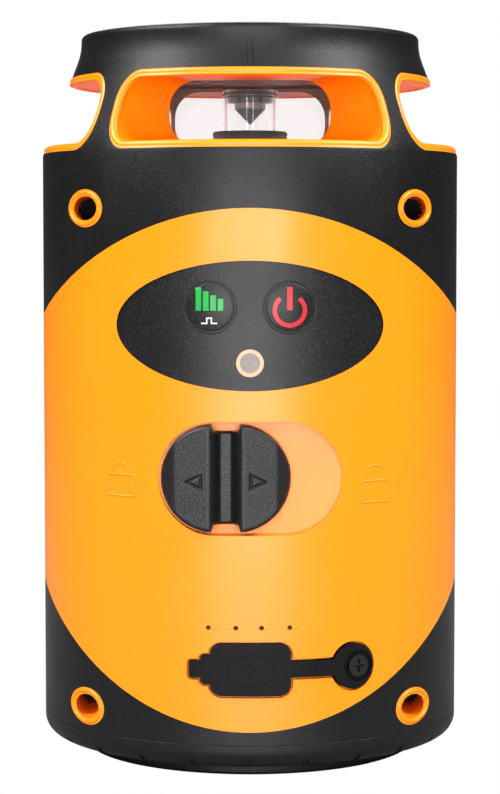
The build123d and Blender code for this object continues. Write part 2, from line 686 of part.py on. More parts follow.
def counterweight():
    """Brass weight on the pendulum's lower end, drilled for the trim screws."""
    weight = rod_z(WEIGHT_R, WEIGHT_LOW_Z, PENDULUM_LOW_Z)
    weight -= rod_z(3.0, 90, PENDULUM_LOW_Z + 1)
    for x, y in ((1, 0), (-1, 0), (0, 1), (0, -1)):
        outer = WEIGHT_R + 1
        if x:
            weight -= rod_x(1.5, min(8 * x, outer * x), max(8 * x, outer * x), 0, 82)
        else:
            weight -= rod_y(1.5, min(8 * y, outer * y), max(8 * y, outer * y), 0, 82)
    return weight


def calibration_screws():
    """Four trim screws that set the beam level."""
    screw = rod_x(1.5, 8, WEIGHT_R + 0.8, 0, 82)
    screw -= box(WEIGHT_R, WEIGHT_R + 1, -0.3, 0.3, 80, 84)
    return all_round(screw)


def damper_disc():
    """Copper disc over the magnets, on a tail whose end is round about the gimbal's centre."""
    disc = rod_z(DISC_R, DISC_LOW_Z, DISC_HIGH_Z) + rod_z(6, DISC_HIGH_Z, WEIGHT_LOW_Z)
    tail = rod_z(TAIL_R, GIMBAL_Z - TAIL_REACH - 2, DISC_LOW_Z) & concave_gap(0)
    return disc + tail


def magnet_plate():
    """Plate under the damper disc, hung from the bracket on posts."""
    low, high = MAGNET_PLATE_Z
    plate = rod_z(BRACKET_R, low, high) & box(-FAR, FAR, -FAR, 23.6, low, high)
    return plate - rod_z(PAD_R + 0.6, low - 1, high + 1)


def damper_magnets():
    """Six disc magnets round the lock pad."""
    return all_round(rod_z(MAGNET_R, MAGNET_PLATE_Z[1], MAGNET_TOP_Z, MAGNET_RING_R), 6)


def frame_posts():
    """Four posts from the bracket down to the magnet plate."""
    return all_round(rod_z(POST_R, MAGNET_PLATE_Z[1], BRACKET_LOW_Z, POST_XY, POST_XY))


def lifter_guide_pins():
    """Two pins that keep the lifter upright."""
    return [rod_z(PIN_R, 38, MAGNET_PLATE_Z[0], side * 8, -12) for side in (-1, 1)]


def optics_base():
    """Black round mount on the pendulum's neck that carries the glass tube."""
    base = rod_z(OPTICS_R, *OPTICS_Z) + rod_z(6.4, OPTICS_Z[0] - 3, OPTICS_Z[0])
    return base - rod_z(3.0, OPTICS_Z[0] - 4, OPTICS_Z[1] + 1)


def glass_tube():
    """Clear tube that holds the mirror over the beam."""
    return tube_z(TUBE_R, TUBE_R - TUBE_WALL, OPTICS_Z[1], TUBE_TOP_Z)


def cone_mirror():
    """Cone mirror, point down, which spreads the beam into a level plane."""
    tip = MIRROR_Z[0] - MIRROR_R
    return turned([(0, tip), (MIRROR_R, MIRROR_Z[0]), (MIRROR_R, MIRROR_Z[1]), (0, MIRROR_Z[1])])


def mirror_holder():
    """Holder that hangs the mirror from the tube's upper end."""
    return rod_z(TUBE_R - TUBE_WALL, MIRROR_Z[1], TUBE_TOP_Z)


def usb_cover():
    """Rubber cover with a pull tab, a plug and a strap that ends at its living hinge."""
    cover = front_prism(cover_outline(0), -FAR, -30) & layer(COVER_INNER_R, COVER_OUTER_R)
    cover -= box(9.8, 30, -FAR, -30, 20, 40) - rod_z(COVER_OUTER_R - 0.2, 15, 40)
    x, y = cover_hinge()
    cover += rod_z(0.8, SOCKET_Z - 1.95, SOCKET_Z + 1.95, x, y)
    return cover + box(-3.4, 3.4, -51, -47, SOCKET_Z - 1.15, SOCKET_Z + 1.15)


def cover_anchor():
    """Round end of the cover's strap, screwed to the housing."""
    x, y = cover_hinge()
    stub = front_prism(Pos(x + 2.5, SOCKET_Z) * Rectangle(5, 3.9), -FAR, -40)
    disc = (anchor_disc(ANCHOR_R) + stub) & layer(COVER_FLOOR_R, COVER_OUTER_R)
    disc -= rod_z(HINGE_GAP_R, 15, 40, x, y)
    disc -= Rot(0, 0, ANCHOR_SCREW_ANGLE) * rod_y(3.7, -FAR, -51.6, 0, SOCKET_Z)
    return disc - Rot(0, 0, ANCHOR_SCREW_ANGLE) * rod_y(1.2, -FAR, -40, 0, SOCKET_Z)


def cover_screw():
    """Cross-head screw through the strap's round end."""
    screw = rod_y(2.6, -52.6, -51.6, 0, SOCKET_Z) + rod_y(1.2, -51.6, -45.2, 0, SOCKET_Z)
    return Rot(0, 0, ANCHOR_SCREW_ANGLE) * (screw - cross_recess(0, SOCKET_Z, -52.6, 1.5))


def usb_port():
    """Metal charging socket on the charge board."""
    shell = box(-4.6, 4.6, -48, -39.9, SOCKET_Z - 1.95, SOCKET_Z + 1.95)
    return shell - box(-4.0, 4.0, -49, -44, SOCKET_Z - 1.55, SOCKET_Z + 1.55)


def charge_light_pipes():
    """Four light pipes from the charge lamps to the front."""
    return [rod_y(LIGHT_R, -48.8, -44.5, x, LIGHT_Z) for x in LIGHT_XS]


def charge_board():
    """Board with the charge lamps and the socket."""
    board = box(-16, 16, -39.9, -38.3, 17, 40.5)
    for x in LIGHT_XS:
        board += box(x - 1, x + 1, -41, -39.9, LIGHT_Z - 0.8, LIGHT_Z + 0.8)
    return board


def main_board():
    """Upright control board at the left, with its larger components."""
    board = box(-39.6, -38, -18, 18, 60, 112)
    board += box(-38, -35.8, -6, 4, 92, 102)
    board += box(-38, -33, 6, 14, 66, 80)
    return board + box(-38, -34.5, -15, -7, 64, 74)


def battery_cells():
    """Two rechargeable cells standing at the rear."""
    cells = []
    for side in (-1, 1):
        cell = rod_z(CELL_R, CELL_Z[0] + 0.4, CELL_Z[1] - 0.4, side * CELL_X, CELL_Y)
        cells.append(cell + rod_z(3, CELL_Z[0], CELL_Z[1], side * CELL_X, CELL_Y))
    return cells


def battery_holder():
    """Open holder with an end plate above and below the cells."""
    low, high = CELL_Z
    holder = box(-15.5, 15.5, CELL_Y + CELL_R + 0.1, CELL_Y + CELL_R + 1.9, low - 2.5, high + 2.5)
    holder += box(-19.4, 19.4, CELL_Y - CELL_R, CELL_Y + CELL_R + 0.1, low - 2.5, low)
    return holder + box(-19.4, 19.4, CELL_Y - CELL_R, CELL_Y + CELL_R + 0.1, high, high + 2.5)


def save(name, shape):
    """Write one node; a list becomes a group of separate solids."""
    if isinstance(shape, (list, tuple)):
        shape = Compound(children=[solid for item in shape for solid in item.solids()])
    export_step(shape, f"parts/{name}.step")


def main():
    os.makedirs("parts", exist_ok=True)
    rubber = jacket()
    for line in aiming_lines():
        rubber -= all_round(line)
    front_jacket, rear_jacket = split(rubber)
    front_shell, rear_shell = shells(jacket())
    save("front_shell", front_shell)
    save("rear_shell", rear_shell)
    save("front_rubber_jacket", front_jacket)
    save("rear_rubber_jacket", rear_jacket)
    save("top_cap", top_cap())
    save("head_ceiling", head_ceiling())
    save("ceiling_screws", ceiling_screws())
    for name, turn in zip(("front_pane", "right_pane", "rear_pane", "left_pane"), all_round(pane())):
        save(name, turn)
    save("base_ring", base_ring())
    save("base_plate", base_plate())
    save("tripod_insert", tube_z(INSERT_R, TRIPOD_BORE_R, 0, INSERT_TOP_Z))
    save("base_screws", base_screws())
    save("clamp_screws", clamp_screws())
    save("keypad_panel", keypad_panel())
    save("mode_button", button(-BUTTON_X))
    save("power_button", button(BUTTON_X))
    save("key_board", key_board())
    save("tact_switches", tact_switches())
    save("indicator_ring", indicator_ring())
    save("indicator_window", indicator_window())
    save("lock_knob", lock_knob())
    save("lock_carriage", lock_carriage())
    save("knob_screws", knob_screws())
    save("lock_lifter", lock_lifter())
    save("lock_pad", lock_pad())
    save("gimbal_bracket", gimbal_bracket())
    save("bracket_screws", bracket_screws())
    save("outer_bearings", outer_bearings())
    save("gimbal_ring", gimbal_ring())
    save("outer_pins", outer_pins())
    save("inner_bearings", inner_bearings())
    save("inner_pins", inner_pins())
    save("pendulum_body", pendulum_body())
    save("laser_barrel", laser_barrel())
    save("laser_diode", laser_diode())
    save("collimator_lens", collimator_lens())
    save("counterweight", counterweight())
    save("calibration_screws", calibration_screws())
    save("damper_disc", damper_disc())
    save("magnet_plate", magnet_plate())
    save("damper_magnets", damper_magnets())
    save("frame_posts", frame_posts())
    save("lifter_guide_pins", lifter_guide_pins())
    save("optics_base", optics_base())
    save("glass_tube", glass_tube())
    save("cone_mirror", cone_mirror())
    save("mirror_holder", mirror_holder())
    save("usb_cover", usb_cover())
    save("cover_anchor", cover_anchor())
    save("cover_screw", cover_screw())
    save("usb_port", usb_port())
    save("charge_light_pipes", charge_light_pipes())
    save("charge_board", charge_board())
    save("main_board", main_board())
    save("battery_cells", battery_cells())
    save("battery_holder", battery_holder())


main()
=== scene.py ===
# %% [markdown]
# # A self-levelling laser level
#
# The tool is a round orange housing in a black rubber jacket. Its engineering model is already packed: every
# shell, screw and bearing is a named node. This script loads that model as a fixed frame and then works on what
# the eye sees: the finishes, the soft edges, the key symbols, the rubber cover and the light.

# %% Load the frame
import math

import bmesh
import bpy
from mathutils import Matrix, Vector


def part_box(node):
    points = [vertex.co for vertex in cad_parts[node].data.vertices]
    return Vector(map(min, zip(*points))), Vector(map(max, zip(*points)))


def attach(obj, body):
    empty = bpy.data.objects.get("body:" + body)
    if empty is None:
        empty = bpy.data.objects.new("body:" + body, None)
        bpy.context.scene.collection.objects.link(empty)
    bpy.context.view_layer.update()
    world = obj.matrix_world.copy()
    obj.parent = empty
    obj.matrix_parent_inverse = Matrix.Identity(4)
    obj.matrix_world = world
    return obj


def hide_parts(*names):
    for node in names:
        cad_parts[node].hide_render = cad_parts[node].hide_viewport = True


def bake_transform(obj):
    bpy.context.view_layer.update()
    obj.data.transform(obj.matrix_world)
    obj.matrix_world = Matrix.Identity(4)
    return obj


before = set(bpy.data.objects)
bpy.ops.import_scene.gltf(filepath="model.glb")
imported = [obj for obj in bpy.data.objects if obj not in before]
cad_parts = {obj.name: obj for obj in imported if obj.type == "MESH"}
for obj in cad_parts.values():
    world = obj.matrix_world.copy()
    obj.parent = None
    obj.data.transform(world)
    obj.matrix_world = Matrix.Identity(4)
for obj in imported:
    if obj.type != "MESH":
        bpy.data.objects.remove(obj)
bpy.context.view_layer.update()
MM = 0.001

# %% [markdown]
# ## Sizes from the frame
#
# Pieces that sit on the housing need its radius and the places of its features. They are read from the packed
# nodes, so a change in the engineering model moves the looks with it.

# %% Sizes and places
shell_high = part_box("front_shell")[1]
BODY_R = shell_high.x / MM
knob_low, knob_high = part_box("lock_knob")
mode_low, mode_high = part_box("mode_button")
power_low, power_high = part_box("power_button")
KEY_Z = (mode_low.z + mode_high.z) / 2 / MM
MODE_X = (mode_low.x + mode_high.x) / 2 / MM
POWER_X = (power_low.x + power_high.x) / 2 / MM
KEY_FACE_R = -mode_low.y / MM
LOCK_Z = (knob_low.z + knob_high.z) / 2 / MM
cover_low, cover_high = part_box("usb_cover")
COVER_Z = (cover_low.z + cover_high.z) / 2 / MM
SHOULDER_Z = 148.0
CONE_SLOPE = 0.38
HEAD_R = 42.2
NECK_ROUND = 14.0
print("body radius", round(BODY_R, 2), "keys at", round(MODE_X, 2), round(POWER_X, 2), "height", round(KEY_Z, 2))


def head_radius(z):
    """Radius of the head's outside at a height, in millimetres: cone, then a hollow round, then a straight rim."""
    neck_z = SHOULDER_Z + (BODY_R - HEAD_R) / CONE_SLOPE
    tangent = NECK_ROUND * math.tan(math.atan(CONE_SLOPE) / 2)
    arc_top = neck_z + tangent
    arc_low = neck_z - tangent * math.cos(math.atan(CONE_SLOPE))
    if z <= SHOULDER_Z:
        return BODY_R
    if z < arc_low:
        return BODY_R - CONE_SLOPE * (z - SHOULDER_Z)
    if z < arc_top:
        return HEAD_R + NECK_ROUND - math.sqrt(NECK_ROUND ** 2 - (arc_top - z) ** 2)
    return HEAD_R


# %% [markdown]
# ## Colour and nodes
#
# Paint and plastic colours are known as hex values, which are sRGB. Shaders work in linear light, so one function
# converts them. A second small function adds any shader node, sets it up and links it.

# %% Helpers for colour and nodes
def colour(code):
    """Linear RGBA from an sRGB hex code."""
    parts = [int(code[i:i + 2], 16) / 255 for i in (1, 3, 5)]
    linear = [c / 12.92 if c <= 0.04045 else ((c + 0.055) / 1.055) ** 2.4 for c in parts]
    return (*linear, 1.0)


def add_node(tree, kind, inputs=None, **settings):
    """A node with its settings; an input given as a socket is linked, any other value is set."""
    made = tree.nodes.new(kind)
    for name, value in settings.items():
        setattr(made, name, value)
    for name, value in (inputs or {}).items():
        if isinstance(value, bpy.types.NodeSocket):
            tree.links.new(value, made.inputs[name])
        else:
            made.inputs[name].default_value = value
    return made


def new_material(name, base, roughness, **extra):
    """A material with one Principled shader; returns the material, its tree and the shader."""
    material = bpy.data.materials.new(name)
    material.use_nodes = True
    tree = material.node_tree
    shader = tree.nodes["Principled BSDF"]
    shader.inputs["Base Color"].default_value = colour(base)
    shader.inputs["Roughness"].default_value = roughness
    for socket, value in extra.items():
        shader.inputs[socket.replace("_", " ")].default_value = value
    return material, tree, shader


# %% [markdown]
# ## Moulded plastic and rubber
#
# The orange shell is ABS moulded against a finely blasted tool: a satin skin whose highlights are wide and soft.
# The jacket is thermoplastic rubber moulded against a spark-eroded tool, which leaves a pebbled grain of about
# 0.3 mm that glitters in the light. Both are one noise pattern through a bump node, at different real scales; the
# glitter is also painted, as paler colour on the grain's peaks.
# Real grain is partly finer than the picture can show, so it is drawn at the coarse end of its range.

# %% Plastic and rubber with grain
def grained(name, base, pale, roughness, grain_mm, depth_mm, spread=0.12, **extra):
    """Moulded finish: grain in the bump, painted glints that make the grain's peaks paler in the colour, and broad
    uneven gloss.
    """
    material, tree, shader = new_material(name, base, roughness, **extra)
    place = add_node(tree, "ShaderNodeTexCoord").outputs["Object"]
    grain = add_node(tree, "ShaderNodeTexNoise", {"Vector": place, "Scale": 1 / (grain_mm * MM), "Detail": 3.0,
                                                  "Roughness": 0.62})
    cloud = add_node(tree, "ShaderNodeTexNoise", {"Vector": place, "Scale": 1 / (14 * MM), "Detail": 2.0})
    # The grain's peaks are painted paler: painted glints.
    glint_peaks = add_node(tree, "ShaderNodeMapRange", {"Value": grain.outputs["Fac"], "From Min": 0.54, "From Max": 0.72})
    grain_glint_tint = add_node(tree, "ShaderNodeMix", {"Factor": glint_peaks.outputs["Result"]}, data_type="RGBA")
    grain_glint_tint.inputs["A"].default_value = colour(base)
    grain_glint_tint.inputs["B"].default_value = colour(pale)
    gloss = add_node(tree, "ShaderNodeMapRange", {"Value": cloud.outputs["Fac"], "From Min": 0.3, "From Max": 0.7,
                                                  "To Min": roughness - spread / 2, "To Max": roughness + spread / 2})
    bump = add_node(tree, "ShaderNodeBump", {"Height": grain.outputs["Fac"], "Distance": depth_mm * MM,
                                             "Strength": 1.0})
    tree.links.new(grain_glint_tint.outputs["Result"], shader.inputs["Base Color"])
    tree.links.new(gloss.outputs["Result"], shader.inputs["Roughness"])
    tree.links.new(bump.outputs["Normal"], shader.inputs["Normal"])
    return material


orange_abs = grained("moulded_orange_abs", "#FF8F00", "#FF9402", 0.38, 0.5, 0.012, 0.08, IOR=1.52)
jacket_rubber = grained("spark_eroded_rubber", "#0E0E0F", "#2C2C2F", 0.38, 0.30, 0.07, 0.06, IOR=1.38)
keypad_plastic = grained("spark_eroded_keypad", "#0F0F10", "#3A3A3E", 0.36, 0.34, 0.08, 0.06, IOR=1.42)
knob_plastic = grained("coarse_grained_knob_abs", "#101012", "#34343A", 0.36, 0.42, 0.12, 0.08, IOR=1.45)
cover_rubber = grained("smooth_silicone_rubber", "#0B0B0C", "#101012", 0.60, 0.8, 0.01, 0.08, IOR=1.27)
plain_black = grained("moulded_black_abs", "#161617", "#1D1D1F", 0.40, 0.6, 0.02, 0.10, IOR=1.5)
print("moulded finishes:", len(bpy.data.materials))

# %% [markdown]
# ## Metals, glass and lamps
#
# Screws are steel with black zinc, the bearings are ground steel, the weights and the tripod insert are turned
# brass and the damper is copper. Turned metal has fine rings about its axis, which a wave texture with rings
# gives. Panes are polished acrylic with a breath of pink, and the tube is clear glass.

# %% Metals
def turned_metal(name, base, roughness, ring_mm=0.35):
    """Metal with fine turning marks about Z."""
    material, tree, shader = new_material(name, base, roughness, Metallic=1.0)
    place = add_node(tree, "ShaderNodeTexCoord").outputs["Object"]
    rings = add_node(tree, "ShaderNodeTexWave", {"Vector": place, "Scale": 1 / (ring_mm * MM * 20), "Distortion": 0.6,
                                                 "Detail": 2.0}, wave_type="RINGS", rings_direction="Z")
    gloss = add_node(tree, "ShaderNodeMapRange", {"Value": rings.outputs["Fac"], "To Min": roughness * 0.8,
                                                  "To Max": roughness * 1.3})
    bump = add_node(tree, "ShaderNodeBump", {"Height": rings.outputs["Fac"], "Distance": 0.01 * MM, "Strength": 0.6})
    tree.links.new(gloss.outputs["Result"], shader.inputs["Roughness"])
    tree.links.new(bump.outputs["Normal"], shader.inputs["Normal"])
    return material


black_zinc = turned_metal("black_zinc_steel", "#4A4A4C", 0.32)
ground_steel = turned_metal("ground_steel", "#B8B9BC", 0.22)
turned_brass = turned_metal("turned_brass", "#C9A35A", 0.28)
turned_copper = turned_metal("turned_copper", "#C77B55", 0.30)
cast_aluminium = turned_metal("cast_aluminium", "#A9ABAF", 0.42)
# The cone mirror's dark pinkish-brown tint is painted reflection of the dark ceiling and pink glass it shows.
mirror_tint_painted_reflection = turned_metal("mirror_with_painted_reflection_tint", "#7A6A66", 0.06)


# %% Glass and lamps
def clear_body(name, base, ior, roughness=0.0):
    """Clear moulded or blown glass; very faint ripples keep its reflections alive."""
    material, tree, shader = new_material(name, base, roughness, IOR=ior)
    shader.inputs["Transmission Weight"].default_value = 1.0
    place = add_node(tree, "ShaderNodeTexCoord").outputs["Object"]
    ripple = add_node(tree, "ShaderNodeTexNoise", {"Vector": place, "Scale": 1 / (9 * MM)})
    bump = add_node(tree, "ShaderNodeBump", {"Height": ripple.outputs["Fac"], "Distance": 0.01 * MM,
                                             "Strength": 0.3})
    tree.links.new(bump.outputs["Normal"], shader.inputs["Normal"])
    return material


pane_acrylic = clear_body("rose_clear_acrylic", "#FEFAFA", 1.49)
tube_glass = clear_body("clear_tube_glass", "#FEFDFD", 1.47)
lamp_ring_plastic = grained("peach_light_guide", "#E8A07A", "#EFAE8A", 0.35, 0.7, 0.01, 0.06)
lamp_lens = grained("mauve_lamp_lens", "#6E5C5C", "#7C6A6A", 0.30, 0.7, 0.01, 0.06)
# The charge light pipes are painted dark orange-black: painted shade in their small holes.
pipe_painted_shade = grained("light_pipe_painted_shade", "#280B04", "#300E06", 0.5, 0.7, 0.01, 0.06)
# The clamp screws are painted near-black and matt: painted shade at the bottom of their deep bores.
screw_painted_shade = grained("clamp_screw_painted_shade", "#08080A", "#0C0C0E", 0.7, 0.6, 0.01, 0.06, IOR=1.3)
ceiling_abs = grained("dark_matt_ceiling_abs", "#1C0F0B", "#20120D", 0.85, 0.6, 0.01, 0.06, IOR=1.25)
board_green = grained("solder_mask_green", "#0E4A2A", "#17603A", 0.35, 1.2, 0.01, 0.06)
cell_wrap = grained("blue_cell_wrap", "#1F4C8C", "#25569B", 0.30, 1.5, 0.01, 0.06)
ink_green = grained("green_key_ink", "#049E3E", "#08AE48", 0.42, 0.5, 0.01, 0.06)
ink_red = grained("red_key_ink", "#D2202E", "#DC303C", 0.42, 0.5, 0.01, 0.06)
ink_white = grained("white_key_ink", "#D9D9D9", "#F2F2F2", 0.42, 0.5, 0.01, 0.06)

# %% [markdown]
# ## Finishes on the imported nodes
#
# Most nodes keep their own shape and only need the right finish. A node's mesh has to stay as it is, but a
# modifier may round how it shades: welding the loose triangles and smoothing by angle turns facets into curves.

# %% Give every node its finish
FINISHES = {
    orange_abs: ["front_shell", "rear_shell"],
    jacket_rubber: ["front_rubber_jacket", "rear_rubber_jacket", "base_ring", "top_cap", "mode_button",
                    "power_button", "lock_pad"],
    keypad_plastic: ["keypad_panel"],
    knob_plastic: ["lock_knob"],
    cover_rubber: ["usb_cover", "cover_anchor"],
    plain_black: ["base_plate", "optics_base", "mirror_holder", "lock_carriage", "lock_lifter",
                  "tact_switches", "battery_holder"],
    black_zinc: ["ceiling_screws", "base_screws", "knob_screws", "bracket_screws",
                 "calibration_screws", "cover_screw"],
    ground_steel: ["outer_bearings", "inner_bearings", "outer_pins", "inner_pins", "laser_diode", "damper_magnets",
                   "frame_posts", "lifter_guide_pins", "usb_port"],
    turned_brass: ["tripod_insert", "laser_barrel", "counterweight"],
    turned_copper: ["damper_disc"],
    cast_aluminium: ["gimbal_bracket", "gimbal_ring", "pendulum_body", "magnet_plate"],
    mirror_tint_painted_reflection: ["cone_mirror"],
    pane_acrylic: ["front_pane", "right_pane", "rear_pane", "left_pane"],
    tube_glass: ["glass_tube", "collimator_lens"],
    lamp_ring_plastic: ["indicator_ring"],
    lamp_lens: ["indicator_window"],
    pipe_painted_shade: ["charge_light_pipes"],
    screw_painted_shade: ["clamp_screws"],
    ceiling_abs: ["head_ceiling"],
    board_green: ["key_board", "charge_board", "main_board"],
    cell_wrap: ["battery_cells"],
}


WELD = 0.002 * MM


def smoothing_tree():
    """Geometry Nodes: weld loose triangles, grow by a hair, and shade smooth except across sharp edges."""
    tree = bpy.data.node_groups.new("weld_and_smooth", "GeometryNodeTree")
    tree.interface.new_socket("Geometry", in_out="INPUT", socket_type="NodeSocketGeometry")
    tree.interface.new_socket("Sharp Angle", in_out="INPUT", socket_type="NodeSocketFloat")
    tree.interface.new_socket("Grow", in_out="INPUT", socket_type="NodeSocketFloat")
    tree.interface.new_socket("Geometry", in_out="OUTPUT", socket_type="NodeSocketGeometry")
    source = add_node(tree, "NodeGroupInput")
    weld = add_node(tree, "GeometryNodeMergeByDistance", {"Geometry": source.outputs["Geometry"],
                                                          "Distance": WELD})
    normal = add_node(tree, "GeometryNodeInputNormal")
    offset = add_node(tree, "ShaderNodeVectorMath", {0: normal.outputs["Normal"], "Scale": source.outputs["Grow"]},
                      operation="SCALE")
    grown = add_node(tree, "GeometryNodeSetPosition", {"Geometry": weld.outputs["Geometry"],
                                                       "Offset": offset.outputs["Vector"]})
    angle = add_node(tree, "GeometryNodeInputMeshEdgeAngle")
    soft = add_node(tree, "FunctionNodeCompare", {0: angle.outputs["Unsigned Angle"],
                                                  1: source.outputs["Sharp Angle"]},
                    data_type="FLOAT", operation="LESS_EQUAL")
    edges = add_node(tree, "GeometryNodeSetShadeSmooth", {"Geometry": grown.outputs["Geometry"],
                                                          "Shade Smooth": soft.outputs["Result"]}, domain="EDGE")
    faces = add_node(tree, "GeometryNodeSetShadeSmooth", {"Geometry": edges.outputs["Geometry"],
                                                          "Shade Smooth": True}, domain="FACE")
    target = add_node(tree, "NodeGroupOutput")
    tree.links.new(faces.outputs["Geometry"], target.inputs["Geometry"])
    return tree


def set_input(modifier, name, value):
    """Sets a modifier's input by its socket's identifier."""
    for item in modifier.node_group.interface.items_tree:
        if item.item_type == "SOCKET" and item.in_out == "INPUT" and item.name == name:
            modifier[item.identifier] = value


SHARP_ANGLE = math.radians(28)
GLASS_GROW = -0.03 * MM
weld_and_smooth = smoothing_tree()


def add_smoothing(made, grow=0.0):
    """Weld and smooth an object's mesh without changing its data."""
    modifier = made.modifiers.new("weld_and_smooth", "NODES")
    modifier.node_group = weld_and_smooth
    set_input(modifier, "Sharp Angle", SHARP_ANGLE)
    set_input(modifier, "Grow", grow)


for material, names in FINISHES.items():
    for name in names:
        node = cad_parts[name]
        node.data.materials.clear()
        node.data.materials.append(material)
        add_smoothing(node, GLASS_GROW if material in (pane_acrylic, tube_glass) else 0.0)
unfinished = set(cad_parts) - {name for names in FINISHES.values() for name in names}
print("nodes without a finish:", sorted(unfinished))

# %% [markdown]
# ## Beads and rims
#
# Moulded rims, outlines and threads all follow a path. One Geometry Nodes tree sweeps a round bead along any path,
# and each piece becomes a plain mesh before it rides on its body.

# %% A bead along a path
def bead_tree():
    """Geometry Nodes: sweep a circle along the edges of a mesh, with a named radius and material."""
    tree = bpy.data.node_groups.new("bead_along_path", "GeometryNodeTree")
    tree.interface.new_socket("Geometry", in_out="INPUT", socket_type="NodeSocketGeometry")
    tree.interface.new_socket("Bead Radius", in_out="INPUT", socket_type="NodeSocketFloat")
    tree.interface.new_socket("Finish", in_out="INPUT", socket_type="NodeSocketMaterial")
    tree.interface.new_socket("Geometry", in_out="OUTPUT", socket_type="NodeSocketGeometry")
    source = add_node(tree, "NodeGroupInput")
    curve = add_node(tree, "GeometryNodeMeshToCurve", {"Mesh": source.outputs["Geometry"]})
    circle = add_node(tree, "GeometryNodeCurvePrimitiveCircle", {"Resolution": 10,
                                                                 "Radius": source.outputs["Bead Radius"]})
    swept = add_node(tree, "GeometryNodeCurveToMesh", {"Curve": curve.outputs["Curve"],
                                                       "Profile Curve": circle.outputs["Curve"], "Fill Caps": True})
    smooth = add_node(tree, "GeometryNodeSetShadeSmooth", {"Geometry": swept.outputs["Mesh"], "Shade Smooth": True})
    real = add_node(tree, "GeometryNodeRealizeInstances", {"Geometry": smooth.outputs["Geometry"]})
    finish = add_node(tree, "GeometryNodeSetMaterial", {"Geometry": real.outputs["Geometry"],
                                                        "Material": source.outputs["Finish"]})
    target = add_node(tree, "NodeGroupOutput")
    tree.links.new(finish.outputs["Geometry"], target.inputs["Geometry"])
    return tree


BEAD = bead_tree()


def plain_object(name, mesh):
    """An object at the origin from a bmesh, which is freed."""
    data = bpy.data.meshes.new(name)
    mesh.to_mesh(data)
    mesh.free()
    made = bpy.data.objects.new(name, data)
    bpy.context.scene.collection.objects.link(made)
    return made


def bake_modifiers(made):
    """Replace an object's modifiers by their result, as a plain mesh."""
    graph = bpy.context.evaluated_depsgraph_get()
    result = bpy.data.meshes.new_from_object(made.evaluated_get(graph))
    made.modifiers.clear()
    made.data = result


def settle(made, body):
    """Bake any modifiers, then let the piece ride on its body."""
    if made.modifiers:
        bake_modifiers(made)
    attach(made, body)
    return made


def bead(name, paths, radius, material, body):
    """One piece made of beads; a path is a list of points in millimetres and whether it closes."""
    mesh = bmesh.new()
    for points, closed in paths:
        verts = [mesh.verts.new([c * MM for c in point]) for point in points]
        for a, b in zip(verts, verts[1:]):
            mesh.edges.new((a, b))
        if closed:
            mesh.edges.new((verts[-1], verts[0]))
    made = plain_object(name, mesh)
    modifier = made.modifiers.new("bead", "NODES")
    modifier.node_group = BEAD
    set_input(modifier, "Bead Radius", radius * MM)
    set_input(modifier, "Finish", material)
    return settle(made, body)


def on_front(x, z, radius):
    """A point on an upright cylinder's front, in millimetres."""
    return x, -math.sqrt(radius ** 2 - x ** 2), z


def ellipse(x0, z0, half_x, half_z, radius, count=40, start=0, end=360):
    """Points of an elliptic arc laid on the housing's front."""
    closed = end - start >= 360
    steps = count if closed else count + 1
    angles = [math.radians(start + (end - start) * i / count) for i in range(steps)]
    return [on_front(x0 + half_x * math.cos(a), z0 + half_z * math.sin(a), radius) for a in angles]


# %% [markdown]
# ## Window lips
#
# Each window in the head has a rounded lip. Its outline is a rounded rectangle that flares outwards from the pane,
# laid on the head's cone and hollow neck, so its corners sweep round the side of the head.

# %% Window lips
WINDOW_LOW, WINDOW_HIGH = 150.0, 165.75
WINDOW_HALF, WINDOW_FLARE, WINDOW_CORNER = 19.5, 0.804, 6.8
PANE_FRONT = 21.5
LIP_BEAD = 1.1
LIP_SUNK = 0.93


def lip_side(z, inset, grow):
    """Point of the lip's right side at a height; inset is how far the corner's round pulls in."""
    radius = head_radius(z) - LIP_SUNK
    start = WINDOW_HALF + grow - WINDOW_FLARE * PANE_FRONT - inset
    a = 1 + WINDOW_FLARE ** 2
    b = 2 * start * WINDOW_FLARE
    depth = (-b + math.sqrt(b * b - 4 * a * (start ** 2 - radius ** 2))) / (2 * a)
    return start + WINDOW_FLARE * depth, -depth, z


LIP_GROW = 0.72
CORNER_STEPS = 12


def window_lip():
    """Closed path of the front window's lip."""
    grow = LIP_GROW
    corner = WINDOW_CORNER + grow / 2
    low, high = WINDOW_LOW - grow, WINDOW_HIGH + grow
    right = []
    for step in range(CORNER_STEPS + 1):
        angle = math.radians(-90 + 90 * step / CORNER_STEPS)
        right.append(lip_side(low + corner + corner * math.sin(angle), corner * (1 - math.cos(angle)), grow))
    for step in range(CORNER_STEPS + 1):
        angle = math.radians(90 * step / CORNER_STEPS)
        right.append(lip_side(high - corner + corner * math.sin(angle), corner * (1 - math.cos(angle)), grow))
    top = crossing(right[-1], high)
    left = [(-x, y, z) for x, y, z in reversed(right)]
    bottom = [(-x, y, z) for x, y, z in crossing(right[0], low)]
    return right + top + left + bottom


def crossing(start, z, count=24):
    """Points from the right corner to the left one along the head at one height."""
    radius = head_radius(z) - LIP_SUNK
    wide = math.asin(min(1.0, start[0] / radius))
    angles = [wide - 2 * wide * i / count for i in range(1, count)]
    return [(radius * math.sin(a), -radius * math.cos(a), z) for a in angles]


def turned_about(points, quarter):
    """Points turned about Z by a number of quarter turns."""
    turn = Matrix.Rotation(math.radians(90 * quarter), 3, "Z")
    return [tuple(turn @ Vector(point)) for point in points]


lip = window_lip()
for side, quarter in (("front", 0), ("right", 1), ("rear", 2), ("left", 3)):
    bead(f"{side}_window_lip", [(turned_about(lip, quarter), True)], LIP_BEAD, orange_abs, "housing")
print("window lips reach", round(max(p[0] for p in lip), 1), "mm to each side")

# %% [markdown]
# ## Rims of the screw bores and the lock's signs
#
# The four shell screws sit deep in bosses whose mouths have a rounded rim. A closed and an open padlock stand
# slightly proud beside the lock's slot, to show which way the slider locks the pendulum.

